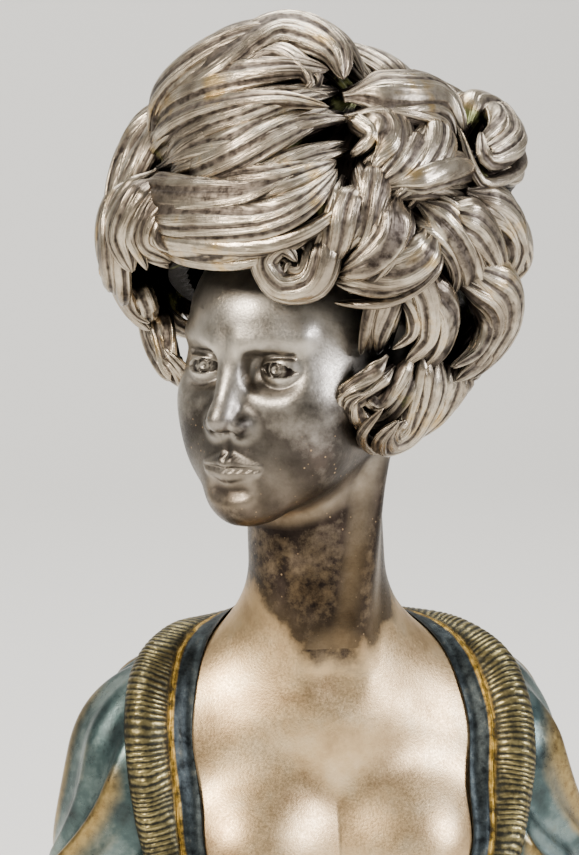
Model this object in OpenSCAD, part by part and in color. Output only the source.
// Draped bust of a woman with turned head and loose curled hair, on a turned marble socle.
// Built like a sectional hollow casting: head, torso, robe, collar and locks are separate
// castings, seated on each other and pinned, and one tie rod clamps the bust to its socle.
// Millimetres, +Z up, origin at the centre of the felt's underside, front towards -Y.

/* [Head] */
// Height of the bare head from chin to crown
head_h = 49.5; // [41:0.5:60]
// Width of the bare head over the temples
head_w = 34.4; // [30:0.2:40]
// Turn of the head about the neck, towards the figure's right
head_turn = 45; // [30:1:55]
// Length of the neck from the casting joint up to the chin
neck_len = 21; // [17:0.5:26]
// Radius of the neck
neck_r = 10.8; // [9:0.2:13]
// Wall of the hollow castings
wall = 2.4; // [1.6:0.1:3.2]

/* [Hair] */
// Radius of the hair cap about the hair centre
cap_r = 27; // [22:0.5:33]
// Wall of the hair cap
cap_wall = 3; // [2:0.1:4]

/* [Bust] */
// Height from the lower rim to the neck joint
bust_h = 58; // [48:1:70]
// Width over the upper arms, without the robe
shoulder_w = 84; // [72:1:100]
// Depth of the chest
chest_d = 31; // [27:0.5:36]

/* [Robe] */
// Thickness of the robe casting
robe_t = 2.8; // [1.8:0.1:3.6]
// Width of the rolled collar
collar_w = 9.5; // [7:0.5:12]
// Thickness of the rolled collar
collar_t = 5; // [4:0.2:6.5]

/* [Socle] */
// Side of the square plinth
plinth_w = 64; // [56:1:80]
// Height of the plinth
plinth_h = 12; // [10:0.5:16]
// Height of the turned column
column_h = 36.5; // [30:0.5:48]
// Largest radius of the turned column
column_r = 26; // [23:0.5:28]
// Height of the bronze neck piece between column and bust
spacer_h = 4; // [3:0.5:8]
// Thickness of the felt
felt_t = 1.5; // [1:0.1:2.5]

/* [Fixing] */
// Diameter of the tie rod
rod_d = 6; // [5:0.5:8]
// Width across the flats of the nuts
nut_af = 10; // [10:0.5:13]
// Height of a nut
nut_h = 4.5; // [4:0.1:6]
// Diameter of the washer
washer_d = 18; // [14:0.5:20]
// Thickness of the washer
washer_t = 1.5; // [1:0.1:2]
// Diameter of the bronze dowels
dowel_d = 1.6; // [1.2:0.1:2]

/* [Hidden] */

// Clearances
seat_gap = 0.06;      // between castings that sit on each other
bore_gap = 0.05;      // round pin in its own hole
rod_gap = 0.5;        // tie rod through the stone
robe_gap = 0.6;       // robe off the body
rebate = 1.6;         // torso cast back under the robe
collar_seat = 1;      // collar off the chest and off the robe
lock_seat = 0.3;      // locks off the hair cap
cap_seat = 0.4;       // hair cap off the skull

// Levels along Z
plinth_z = felt_t;
column_z = plinth_z + plinth_h;
spacer_z = column_z + column_h;
bust_z = spacer_z + spacer_h;
joint_z = bust_z + bust_h;
head_z = joint_z + neck_len + head_h / 2;

// The body's forms were laid out at these sizes and stretch with the driving ones
kx = shoulder_w / 84;
ky = chest_d / 31;
kz = bust_h / 58;
hx = head_w / 34.4;
hz = head_h / 49.5;

// Axis of the neck and frame of the head
neck_foot = [0, 3, joint_z - 2];
neck_head = [-2, 1, joint_z + neck_len + 5];
head_c = [-4.8, -1.8, head_z];
side_dir = [cos(head_turn), -sin(head_turn), 0];
back_dir = [sin(head_turn), cos(head_turn), 0];
hair_up = 19.25;      // hair centre over the head centre
hair_back = 4;        // hair centre behind the head centre
hair_c = head_c + hair_back * back_dir + [0, 0, hair_up * hz];

// Mesh density of the cast forms
RAYS = 32;
FACE_PULL = 38;       // draws the head's rays together towards the face, in degrees
BISECTIONS = 12;
REACH = 60;

bronze = "#8C7350";
silvered = "#B9A88E";
patina = "#3E5C58";
gilt = "#9C7A36";
marble = "#23302A";
steel = "#6E6E70";

// ---------- soft forms: distances to blended ellipsoids and round cones ----------

function smin(a, b, k) = let(h = max(k - abs(a - b), 0) / k) min(a, b) - h * h * k / 4;
function per(p, r) = [p.x / r.x, p.y / r.y, p.z / r.z];
function egg(p, c, r) =
    let(q = p - c, k0 = norm(per(q, r)), k1 = norm(per(per(q, r), r)))
    k0 < 1e-6 ? -min(r) : k0 * (k0 - 1) / k1;
function limb(p, a, b, ra, rb) =
    let(ab = b - a, h = min(max((p - a) * ab / (ab * ab), 0), 1))
    norm(p - a - h * ab) - ra - h * (rb - ra);
function mirrored(p) = [abs(p.x), p.y, p.z];

// The head about its own centre, face towards -Y
function head_form(p) =
    let(
        q = [p.x / hx, p.y, p.z / hz],
        m = mirrored(q),
        skull = smin(egg(q, [0, 3, 6], [17.2, 19.5, 18.5]), egg(q, [0, -3, 6], [14.5, 16.5, 13]), 3),
        face = smin(egg(q, [0, -4, -6], [14.2, 15, 16.5]), egg(m, [9.5, -9, -4.5], [6.5, 7, 5.5]), 4),
        jaw = limb(m, [10.5, 1, -10], [3.5, -13.8, -19.6], 4.8, 4.4),
        chin = egg(q, [0, -15.4, -20.4], [5, 4.6, 4.5]),
        nose = limb(q, [0, -17.2, 2.5], [0, -21.6, -8.2], 2, 2.8)
    )
    smin(smin(smin(smin(skull, face, 4), jaw, 4), chin, 3), nose, 2.5);

function in_head(p) = let(q = p - head_c) [q * side_dir, q * back_dir, q.z];

// The neck, shoulders, chest and breasts in the bust's own frame
function bust_form(p) =
    let(
        q = [p.x / kx, 5 + (p.y - 5) / ky, (p.z - bust_z) / kz],
        m = mirrored(q),
        chest = egg(q, [0, 5, 32], [28, 15.5, 28]),
        waist = egg(q, [0, 3, 8], [23, 14.5, 22]),
        bar = limb(m, [0, 6, 44], [25, 6, 38.5], 9, 9),
        slope = limb(m, [6, 7, 57], [24.5, 7, 44.5], 6.5, 6.5),
        arm = limb(m, [27.5, 6, 34], [33.5, 4.5, 19], 7.6, 8.4),
        breast = egg(m, [12.5, -6, 24], [11.5, 10.5, 11.5])
    )
    smin(smin(smin(smin(smin(chest, waist, 9), bar, 8), slope, 7), arm, 12), breast, 8);

function neck_form(p) = limb(p, neck_foot - [0, 0, 8], neck_head, neck_r + 0.6, neck_r);
function figure_form(p) =
    smin(smin(head_form(in_head(p)), neck_form(p), 4), bust_form(p), 9);

// ---------- where a ray leaves a form ----------

function leave(o, d, level, lo, hi, n) =
    n == 0
        ? o + d * (lo + hi) / 2
        : let(m = (lo + hi) / 2)
          figure_form(o + d * m) < level
              ? leave(o, d, level, m, hi, n - 1)
              : leave(o, d, level, lo, m, n - 1);
function cast(o, d, level) = leave(o, d, level, 0, REACH, BISECTIONS);
function unit(v) = v / norm(v);
function flat(az) = [sin(az), -cos(az), 0];
function aim(az, el) = [sin(az) * cos(el), -cos(az) * cos(el), sin(el)];
function mix(a, b, t) = a + (b - a) * t;
function ease(t) = let(c = min(max(t, 0), 1)) c * c * (3 - 2 * c);
function turned(i, n) = 360 * i / n;
// A smooth curve through four values, and through all rows of a table (s from 0 to 1)
function curve4(a, b, c, d, t) =
    (2 * b + (c - a) * t + (2 * a - 5 * b + 4 * c - d) * t * t + (3 * b - a - 3 * c + d) * t * t * t) / 2;
function table_row(rows, s) =
    let(n = len(rows) - 1, x = s * n, i = min(floor(x), n - 1))
    curve4(rows[max(i - 1, 0)], rows[i], rows[i + 1], rows[min(i + 2, n)], x - i);

// ---------- skins: closed solids between an outer and an inner grid ----------

function quad(a, b, c, d) = [[a, b, c], [a, c, d]];
function flip(tris) = [for (t = tris) [t[0], t[2], t[1]]];
function mesh_of(first, rows, cols, wrap) = [
    for (i = [0 : rows - 2], j = [0 : wrap ? cols - 1 : cols - 2])
        let(k = (j + 1) % cols)
        each quad(
            first + i * cols + j, first + i * cols + k,
            first + (i + 1) * cols + k, first + (i + 1) * cols + j
        )
];
function rim(a, b, cols, wrap) = [
    for (j = [0 : wrap ? cols - 1 : cols - 2])
        let(k = (j + 1) % cols) each quad(b + j, b + k, a + k, a + j)
];
function edge(a, b, rows, cols) = [
    for (i = [0 : rows - 2])
        each quad(a + i * cols, a + (i + 1) * cols, b + (i + 1) * cols, b + i * cols)
];
function fan(first, cols, pole) = [for (j = [0 : cols - 1]) [first + j, first + (j + 1) % cols, pole]];

// A wall between two grids of the same size. wrap closes it round, pole closes its top.
module skin(outer, inner, wrap = true, pole = false) {
    rows = len(outer);
    cols = len(outer[0]);
    count = rows * cols;
    last = (rows - 1) * cols;
    tops = pole ? [mean(outer[rows - 1]), mean(inner[rows - 1])] : [];
    polyhedron(
        points = concat([for (r = outer) each r], [for (r = inner) each r], tops),
        faces = concat(
            flip(mesh_of(0, rows, cols, wrap)),
            mesh_of(count, rows, cols, wrap),
            flip(rim(0, count, cols, wrap)),
            pole ? flip(fan(last, cols, 2 * count)) : rim(last, count + last, cols, wrap),
            pole ? fan(count + last, cols, 2 * count + 1) : [],
            wrap ? [] : flip(edge(0, count, rows, cols)),
            wrap ? [] : edge(cols - 1, count + cols - 1, rows, cols)
        )
    );
}
function mean(points) = [for (p = points) 1] * points / len(points);

// Cut forms are meshed as one by this, so that their facets stay clean
module as_mesh() resize([0, 0, 0]) children();

module between(a, b) {
    v = b - a;
    translate(a) rotate([0, acos(v.z / norm(v)), atan2(v.y, v.x)]) children();
}

// ---------- head and neck ----------

function throat_z(az) = joint_z + neck_len + mix(-3.5, 3, (1 - cos(az)) / 2);
function neck_axis(z) = mix(neck_foot, neck_head, (z - neck_foot.z) / (neck_head.z - neck_foot.z));
// Azimuth of ray i about the neck; turn 0 is square to the bust, 1 is the head's own turn
function ray_az(i, turn) = turned(i, RAYS) - turn * (FACE_PULL * sin(turned(i, RAYS)) + head_turn);
function neck_ring(z, level, turn) = [
    for (i = [0 : RAYS - 1]) cast(neck_axis(z), flat(ray_az(i, turn)), level)
];
function throat_ring(level) = [
    for (i = [0 : RAYS - 1])
        let(az = ray_az(i, 1)) cast(neck_axis(throat_z(az + head_turn)), flat(az), level)
];
// Rows above the throat fan out from the head centre, up to the crown
function head_row(level, seam, t) = [
    for (i = [0 : RAYS - 1])
        let(
            d = unit(seam[i] - head_c),
            el0 = asin(d.z),
            az0 = atan2(d.x, -d.y),
            az1 = ray_az(i, 1),
            step = az1 - az0 - 360 * round((az1 - az0) / 360)
        )
        cast(head_c, aim(az0 + step * ease(t * 2.5), mix(el0, 88, t)), level)
];
HEAD_ROWS = [0.06, 0.14, 0.22, 0.3, 0.38, 0.46, 0.53, 0.6, 0.68, 0.77, 0.86, 0.95];
NECK_STEPS = [0, 0.3, 0.62, 0.85];
function head_grid(level, neck_level) =
    let(seam = throat_ring(neck_level))
    concat(
        [
            for (s = NECK_STEPS)
                neck_ring(mix(joint_z, throat_z(0), s * 0.9), neck_level, s)
        ],
        [seam],
        [for (t = HEAD_ROWS) head_row(level, seam, t)]
    );

function neck_hole(i) = [120 * i + 30, 120 * i + 90];
module radial_pins(z, azimuths, r) {
    for (az = azimuths)
        translate(neck_axis(z)) rotate([90, 0, az])
            translate([0, 0, neck_r - wall - 1.6]) cylinder(h = wall + 1.4, r = r, $fn = 24);
}
pin_rise = 3.4;       // pins above and below the joint
module neck_drillings(extra) {
    radial_pins(joint_z + pin_rise, [for (i = [0 : 2]) neck_hole(i)[0]], dowel_d / 2 + extra);
    radial_pins(joint_z - pin_rise, [for (i = [0 : 2]) neck_hole(i)[1]], dowel_d / 2 + extra);
}

module head_shell() {
    color(silvered) as_mesh() difference() {
        skin(head_grid(0, 0), head_grid(-wall, -wall), pole = true);
        neck_drillings(bore_gap);
        dowels(bore_gap);
    }
}

sleeve_r = neck_r - wall - 0.3;
sleeve_half = 7;
module neck_sleeve() {
    color(bronze) difference() {
        between(neck_axis(joint_z - sleeve_half), neck_axis(joint_z + sleeve_half))
            difference() {
                cylinder(h = 2 * sleeve_half, r = sleeve_r, $fn = 64);
                translate([0, 0, -1]) cylinder(h = 2 * sleeve_half + 2, r = sleeve_r - 1.6, $fn = 64);
            }
        neck_drillings(bore_gap);
    }
}
module neck_pins() {
    color(bronze) neck_drillings(0);
}

// ---------- torso ----------

TORSO_ROWS = [0, 0.08, 0.17, 0.26, 0.34, 0.42, 0.5, 0.58, 0.66]; // shares of the bust's height
FAN_ROWS = [0.14, 0.3, 0.46, 0.62, 0.78, 0.9];  // shares of the way up to the neck joint
core = [0, 5, bust_z + 0.66 * bust_h];
LEVEL_SHARE = 0.52;   // share of the robe's rows that are level; above, they fan out from the core
robe_top = 62;        // elevation of the collar behind the neck, seen from the core
// Azimuth of the robe's front edge, at even shares of the way up
EDGE = [20, 36, 51, 60, 65, 71, 82, 108, 150];
// The torso is cast back by this much where the robe covers it
function covered(az, share) =
    let(off = min(az, 360 - az) - table_row(EDGE, min(max(share, 0), 1)))
    rebate * ease((off - 3) / 9);
function level_row(s, level) =
    [
        for (i = [0 : RAYS - 1])
            let(az = turned(i, RAYS))
            cast(
                [0, 5, bust_z + s * bust_h],
                flat(az),
                level - covered(az, LEVEL_SHARE * s * bust_h / (core.z - bust_z))
            )
    ];
// Rows above the core fan out from it to the neck joint
function fan_row(joint, t, level) =
    [
        for (i = [0 : RAYS - 1])
            let(
                d = unit(joint[i] - core),
                az1 = atan2(d.x, -d.y),
                az0 = turned(i, RAYS),
                step = az1 - az0 - 360 * round((az1 - az0) / 360),
                el = asin(d.z) * t,
                share = LEVEL_SHARE + (1 - LEVEL_SHARE) * el / robe_top
            )
            cast(
                core,
                aim(az0 + step * ease(t), el),
                level - covered(az0, share) * ease((1 - t) * 4)
            )
    ];
function torso_grid(level) =
    let(joint = neck_ring(joint_z, level, 0))
    concat(
        [for (s = TORSO_ROWS) level_row(s, level)],
        [for (t = FAN_ROWS) fan_row(joint, t, level)],
        [joint]
    );

module torso_shell() {
    color(silvered) as_mesh() difference() {
        skin(torso_grid(0), torso_grid(-wall));
        neck_drillings(bore_gap);
        robe_drillings(bore_gap);
    }
}

// ---------- robe and collar ----------

ROBE_ROWS = 15;
ROBE_COLS = 30;
function robe_origin(t) =
    t < LEVEL_SHARE ? [0, 5, mix(bust_z + 0.6, core.z, t / LEVEL_SHARE)] : core;
function robe_point(t, az, level) =
    cast(
        robe_origin(t),
        aim(az, robe_top * max(0, (t - LEVEL_SHARE) / (1 - LEVEL_SHARE))),
        level
    );
function robe_row(t, level) =
    let(a = table_row(EDGE, t))
    [for (j = [0 : ROBE_COLS]) robe_point(t, mix(a, 360 - a, j / ROBE_COLS), level)];
function robe_grid(level) = [for (i = [0 : ROBE_ROWS]) robe_row(i / ROBE_ROWS, level)];

module robe_shell() {
    color(patina) as_mesh() difference() {
        skin(robe_grid(robe_gap + robe_t), robe_grid(robe_gap), wrap = false);
        robe_drillings(bore_gap);
    }
}

// The collar lies half on the robe's edge and half on the body, with a step between
on_robe = robe_gap + robe_t + collar_seat;
collar_top = on_robe + collar_t / 2;
COLLAR_ACROSS = [-0.5, -0.43, -0.36, -0.3, -0.22, 0.12, 0.36, 0.5];
COLLAR_OUTER = [0.3, 0.66, 0.88, 0.97, 1, 1, 0.92, 0.8];
COLLAR_FOOT = 0.03;   // share of the robe's height that the collar starts at
COLLAR_STEP = 3;      // last column of the profile that is seated on the body
BACK_STEPS = 5;
function collar_side(side) = [
    for (i = [0 : ROBE_ROWS])
        let(t = mix(COLLAR_FOOT, 1, i / ROBE_ROWS)) robe_point(t, side * table_row(EDGE, t), collar_seat)
];
collar_path = concat(
    collar_side(1),
    [
        for (k = [1 : BACK_STEPS - 1])
            robe_point(1, mix(table_row(EDGE, 1), 360 - table_row(EDGE, 1), k / BACK_STEPS), collar_seat)
    ],
    [for (i = [ROBE_ROWS : -1 : 0]) collar_side(-1)[i]]
);
// Direction in which the distance to the body grows fastest
function slope_at(p, e = 0.1) =
    let(x = [e, 0, 0], y = [0, e, 0], z = [0, 0, e])
    unit([
        figure_form(p + x) - figure_form(p - x),
        figure_form(p + y) - figure_form(p - y),
        figure_form(p + z) - figure_form(p - z)
    ]);
// Moves a point along that direction until it is at the given level over the body
function settle(p, level, steps = 4) =
    steps == 0 ? p : settle(p - (figure_form(p) - level) * slope_at(p), level, steps - 1);
function collar_row(i, outer) =
    let(
        n = len(collar_path) - 1,
        p = collar_path[i],
        tangent = unit(collar_path[min(i + 2, n)] - collar_path[max(i - 2, 0)]),
        across = unit(cross(tangent, slope_at(p))),
        taper = mix(0.5, 1, ease(min(i, n - i) / 7))
    )
    [
        for (j = [0 : len(COLLAR_ACROSS) - 1])
            settle(
                p + across * collar_w * taper * COLLAR_ACROSS[j],
                outer ? collar_top * COLLAR_OUTER[j] : j <= COLLAR_STEP ? collar_seat : on_robe
            )
    ];
module collar_roll() {
    rows = [0 : len(collar_path) - 1];
    color(gilt)
        skin([for (i = rows) collar_row(i, true)], [for (i = rows) collar_row(i, false)], wrap = false);
}

// Dowels through the robe into the torso's back and sides
ROBE_PIN_AZ = [110, 180, 250];
ROBE_PIN_Z = 0.42;
module robe_drillings(extra) {
    for (az = ROBE_PIN_AZ) {
        o = [0, 5, bust_z + ROBE_PIN_Z * bust_h];
        inside = cast(o, flat(az), -wall + 0.3);
        outside = cast(o, flat(az), robe_gap + robe_t - 0.9);
        between(inside, outside)
            cylinder(h = norm(outside - inside), r = dowel_d / 2 + extra, $fn = 24);
    }
}
module robe_pins() {
    color(bronze) robe_drillings(0);
}

// ---------- hair ----------

CAP_RAYS = 26;
CAP_ROWS = 10;
// Lowest elevation of the hair cap, by the azimuth from the face
function cap_foot(az) = let(c = cos(az)) mix(-48, -4, pow((1 + c) / 2, 1.6));
function hair_aim(az, el) = let(v = aim(az, el)) v.x * side_dir + v.y * back_dir + [0, 0, v.z];
function skull_hit(az, el, level) = cast(hair_c, hair_aim(az, el), level);
function cap_outer(az, el, grow) =
    let(p = skull_hit(az, el, 2.6))
    hair_c + hair_aim(az, el) * (max(norm(p - hair_c), cap_r) + grow);
function cap_inner(az, el) =
    let(p = skull_hit(az, el, cap_seat))
    hair_c + hair_aim(az, el) * max(norm(p - hair_c), cap_r - cap_wall);
function cap_el(i, az) = mix(cap_foot(az), 86, i / CAP_ROWS);
module hair_cap() {
    color(bronze) as_mesh() difference() {
        skin(
            [for (i = [0 : CAP_ROWS]) [for (j = [0 : CAP_RAYS - 1])
                let(az = turned(j, CAP_RAYS)) cap_outer(az, cap_el(i, az), 0)]],
            [for (i = [0 : CAP_ROWS]) [for (j = [0 : CAP_RAYS - 1])
                let(az = turned(j, CAP_RAYS)) cap_inner(az, cap_el(i, az))]],
            pole = true
        );
        dowels(bore_gap);
    }
}
// Every lock casting is a saddle on the cap. Its rows are [share of the way from the cap's foot
// to the crown, azimuths of its two edges, lift off the cap, thickness]; a share below 0 hangs
// free under the cap. Neighbours share their edges, less the parting.
parting = 0.6;        // half the gap between locks, in degrees
CROWN_KNOT = [[0.72, -180, 180, 0, 5], [0.85, -180, 180, 0, 6.6], [0.97, -180, 180, 0.2, 7.4]];
CROWN_WAVES = [[0.44, -60, 44, 0, 4], [0.58, -60, 44, 0, 5.2], [0.72, -60, 44, 0, 4.8]];
FRINGE_LOCK = [[0.02, 4, 42, 0, 1.2], [0.16, -14, 44, 0, 3], [0.3, -23, 44, 0, 3.6],
    [0.44, -24, 44, 0, 3.2]];
FOREHEAD_CURL = [
    [-0.17, 20, 26, 0.1, 1.6], [-0.12, 20, 34, 0.2, 2.2], [-0.05, 26, 41, 0.1, 2], [-0.005, 30, 41, 0, 1.6]
];
RIGHT_TEMPLE_LOCKS = [
    [-0.06, -50, -36, 1.5, 2.4], [0.02, -60, -28, 0.5, 4], [0.2, -60, -24, 0, 5], [0.44, -60, -24, 0, 4]
];
RIGHT_JAW_CURL = [
    [-0.3, -56, -44, 0.6, 2], [-0.22, -62, -44, 1.4, 3], [-0.12, -70, -56, 1.6, 3],
    [-0.03, -74, -62, 0.6, 2.4]
];
PARTING_WAVES = [
    [0.03, 44, 60, 0, 2.4], [0.15, 44, 70, 0, 3.6], [0.3, 44, 74, 0, 4], [0.44, 44, 74, 0, 3.4]
];
LEFT_CROWN_ROLL = [[0.44, 44, 100, 0, 4], [0.6, 44, 100, 0, 6], [0.72, 44, 100, 0, 4.6]];
LEFT_KNOB_CURL = [[0.44, 100, 128, 0, 3.6], [0.54, 100, 128, 2, 7.4], [0.64, 100, 128, 0.6, 6.4],
    [0.72, 100, 128, 0, 4]];
LEFT_SIDE_WAVES = [[0.2, 74, 128, 0, 4.4], [0.32, 74, 128, 0, 5.8], [0.44, 74, 128, 0, 4.6]];
LEFT_OUTER_LOCK = [
    [-0.14, 108, 116, 3.4, 2.2], [-0.04, 98, 113, 4, 3], [0.05, 90, 114, 1.6, 5],
    [0.12, 84, 116, 0, 5], [0.2, 80, 118, 0, 3.4]
];
LEFT_FACE_LOCK = [
    [-0.14, 66, 74, 0.8, 2], [-0.06, 68, 80, 1.6, 2.8], [0.03, 66, 80, 0.6, 3.2], [0.2, 74, 80, 0, 2.4]
];
LEFT_LOW_CURLS = [
    [-0.34, 46, 58, 3.4, 2.6], [-0.3, 56, 74, 4.6, 3.4], [-0.24, 72, 92, 5, 4], [-0.17, 88, 104, 4.4, 3]
];
BACK_LOCKS = [[0.28, 128, 238, 0, 4.6], [0.5, 128, 238, 0, 6], [0.72, 128, 238, 0, 4.6]];
NAPE_CURLS = [[-0.08, 137, 224, 2.4, 2.6], [0.02, 131, 233, 1, 4.6], [0.14, 129, 237, 0, 5.4],
    [0.28, 129, 238, 0, 4]];
FAR_SIDE_LOCKS = [
    [0.0, 246, 290, 0, 3], [0.2, 238, 300, 0, 5.4], [0.45, 238, 300, 0, 5.6], [0.72, 238, 300, 0, 4.4]
];

// The whole head of hair is laid out straight and waved afterwards, so edges stay shared
function waved(az, v) = [
    az + 5 * sin(420 * v + 2 * az),
    v + 0.022 * sin(3 * az + 50) * max(0, 1 - v)
];
function over_cap(az, v, up) =
    let(w = waved(az, v), el = mix(cap_foot(w[0]), 90, w[1]))
    hair_c + hair_aim(w[0], el) * (norm(cap_outer(w[0], el, lock_seat) - hair_c) + up);
// Strands: how far a lock swells at a place across (u) and along (s) its casting
function strand(u, s, count, flow) = pow(abs(sin(180 * (count * mix(u, s, flow)))), 0.8);
function lock_grid(rows, cols, steps, count, flow, outer, round) = [
    for (i = [0 : steps])
        let(s = i / steps, r = table_row(rows, s), part = round ? 0 : parting)
        [
            for (j = [0 : round ? cols - 1 : cols])
                let(u = j / cols, az = mix(r[1] + part, r[2] - part, u), v = r[0] + edge_inset(s))
                over_cap(az, v, r[3] + (outer ? r[4] * mix(0.55, 1, strand(u, s, count, flow)) : 0))
        ]
];
function edge_inset(s) = 0.006 * (1 - 2 * s);
// count strands, running up the casting (flow 0) or across it (flow 1)
module lock_casting(rows, cols, steps, count, flow = 0, round = false) {
    color(bronze) skin(
        lock_grid(rows, cols, steps, count, flow, true, round),
        lock_grid(rows, cols, steps, count, flow, false, round),
        wrap = round,
        pole = round
    );
}

module crown_knot() lock_casting(CROWN_KNOT, 30, 5, 5, 0, true);
module crown_waves() lock_casting(CROWN_WAVES, 12, 9, 3, 1);
module fringe_lock() lock_casting(FRINGE_LOCK, 10, 9, 3, 1);
module forehead_curl() lock_casting(FOREHEAD_CURL, 6, 8, 1);
module right_temple_locks() lock_casting(RIGHT_TEMPLE_LOCKS, 15, 7, 3);
module right_jaw_curl() lock_casting(RIGHT_JAW_CURL, 6, 7, 1);
module parting_waves() lock_casting(PARTING_WAVES, 12, 7, 3);
module left_crown_roll() lock_casting(LEFT_CROWN_ROLL, 12, 9, 3, 1);
module left_knob_curl() lock_casting(LEFT_KNOB_CURL, 8, 8, 1);
module left_side_waves() lock_casting(LEFT_SIDE_WAVES, 12, 9, 3, 1);
module left_outer_lock() lock_casting(LEFT_OUTER_LOCK, 10, 9, 2);
module left_face_lock() lock_casting(LEFT_FACE_LOCK, 6, 9, 1);
module left_low_curls() lock_casting(LEFT_LOW_CURLS, 8, 10, 2);
module back_locks() lock_casting(BACK_LOCKS, 25, 7, 5);
module nape_curls() lock_casting(NAPE_CURLS, 25, 7, 5);
module far_side_locks() lock_casting(FAR_SIDE_LOCKS, 15, 9, 3);

// Dowels that hold the cap down on the skull: [azimuth, elevation]
DOWELS = [[-60, 8], [60, 8], [120, -14], [180, -24], [240, -14]];
dowel_len = wall + cap_wall - 0.4;
module dowels(extra) {
    for (d = DOWELS) {
        inside = skull_hit(d[0], d[1], -wall + 0.4);
        away = hair_aim(d[0], d[1]);
        between(inside, inside + away) cylinder(h = dowel_len, r = dowel_d / 2 + extra, $fn = 24);
    }
}
module hair_dowels() {
    color(bronze) dowels(0);
}

// ---------- mounting plate and tie rod ----------

// The plate is brazed inside the torso's lower rim, so its outline follows the rim's inside
plate_t = 3;
plate_rise = 1.2;     // plate above the bust's lower rim
plate_gap = 0.3;      // filled by the braze
module mounting_plate() {
    color(steel) difference() {
        translate([0, 0, bust_z + plate_rise]) linear_extrude(plate_t)
            polygon([for (p = level_row(0, -wall - plate_gap)) [p.x, p.y]]);
        translate([0, 0, bust_z]) cylinder(h = 10, r = rod_d / 2 + bore_gap, $fn = 64);
    }
}

nut_seat = 6.5;       // depth of the plinth's recess for washer and nut
rod_z = felt_t + 0.8;
rod_top = bust_z + plate_rise + plate_t + nut_h + 2.5;
module hex(af, h) cylinder(h = h, r = af / sqrt(3), $fn = 6);
module drilled_nut(z) {
    color(steel) difference() {
        translate([0, 0, z]) hex(nut_af, nut_h);
        translate([0, 0, z - 1]) cylinder(h = nut_h + 2, r = rod_d / 2 + bore_gap, $fn = 64);
    }
}
module tie_rod() {
    color(steel) translate([0, 0, rod_z]) cylinder(h = rod_top - rod_z, r = rod_d / 2, $fn = 64);
}
module upper_nut() drilled_nut(bust_z + plate_rise + plate_t + seat_gap);
module lower_nut() drilled_nut(plinth_z + nut_seat - washer_t - nut_h - seat_gap);
module washer() {
    color(steel) difference() {
        translate([0, 0, plinth_z + nut_seat - washer_t]) cylinder(h = washer_t, r = washer_d / 2, $fn = 64);
        cylinder(h = joint_z, r = rod_d / 2 + rod_gap / 2, $fn = 64);
    }
}

// ---------- socle ----------

spacer_r = 12.5;
module rod_bore() translate([0, 0, -1]) cylinder(h = bust_z + 20, r = rod_d / 2 + rod_gap, $fn = 64);
module socle_spacer() {
    color(bronze) difference() {
        rotate_extrude($fn = 96) polygon([
            [0, spacer_z], [spacer_r + 4, spacer_z], [spacer_r + 4, spacer_z + spacer_h * 0.3],
            for (i = [0 : 6]) let(a = 90 * i / 6)
                [spacer_r + 3 * (1 - sin(a)), spacer_z + spacer_h * (0.38 + 0.5 * (1 - cos(a)))],
            [spacer_r, bust_z], [0, bust_z]
        ]);
        rod_bore();
    }
}
waist_r = column_r - 10.5;
top_r = column_r - 5.5;
// Profile from the foot up: fillet, torus, fillet, scotia, flare, top bead
module socle_column() {
    torus = column_h * 0.09;
    color(marble) difference() {
        rotate_extrude($fn = 128) translate([0, column_z]) polygon(concat(
            [[0, 0], [column_r - 1, 0]],
            [for (i = [1 : 9]) let(a = -90 + 180 * i / 10)
                [column_r - torus + torus * cos(a), torus + torus * sin(a)]],
            [[column_r - torus, 2 * torus], [column_r - torus - 1.4, 2 * torus],
             [column_r - torus - 1.4, 2 * torus + 1.6]],
            [for (i = [0 : 12]) let(s = i / 12)
                [
                    mix(column_r - torus - 2.2, top_r - 1.4, s)
                        - (mix(column_r - torus - 2.2, top_r - 1.4, 0.5) - waist_r) * pow(sin(180 * s), 0.8),
                    mix(2 * torus + 1.6, column_h - 5.4, s)
                ]],
            [[top_r - 0.4, column_h - 5.4], [top_r - 0.4, column_h - 4.2]],
            [for (i = [0 : 8]) let(a = -90 + 180 * i / 8)
                [top_r - 1.6 + 1.6 * cos(a), column_h - 2.1 + 2.1 * sin(a)]],
            [[0, column_h]]
        ));
        rod_bore();
    }
}
bevel = 2;
module socle_plinth() {
    color(marble) difference() {
        translate([-plinth_w / 2, -plinth_w / 2, plinth_z]) cube([plinth_w, plinth_w, plinth_h]);
        for (q = [0 : 3]) rotate([0, 0, 90 * q])
            translate([0, plinth_w / 2, column_z]) rotate([45, 0, 0])
                cube([plinth_w + 2, bevel * sqrt(2), bevel * sqrt(2)], center = true);
        translate([0, 0, plinth_z - 1]) cylinder(h = nut_seat + 1, r = washer_d / 2 + 2, $fn = 64);
        rod_bore();
    }
}
felt_inset = 1;
module felt_pad() {
    half = plinth_w / 2 - felt_inset;
    color("#2B2F2C") translate([-half, -half, 0]) cube([2 * half, 2 * half, felt_t]);
}

head_shell();
neck_sleeve();
neck_pins();
torso_shell();
robe_shell();
collar_roll();
robe_pins();
hair_cap();
hair_dowels();
crown_knot();
crown_waves();
fringe_lock();
forehead_curl();
right_temple_locks();
right_jaw_curl();
parting_waves();
left_crown_roll();
left_knob_curl();
left_side_waves();
left_outer_lock();
left_face_lock();
left_low_curls();
back_locks();
nape_curls();
far_side_locks();
mounting_plate();
tie_rod();
upper_nut();
socle_spacer();
socle_column();
socle_plinth();
washer();
lower_nut();
felt_pad();
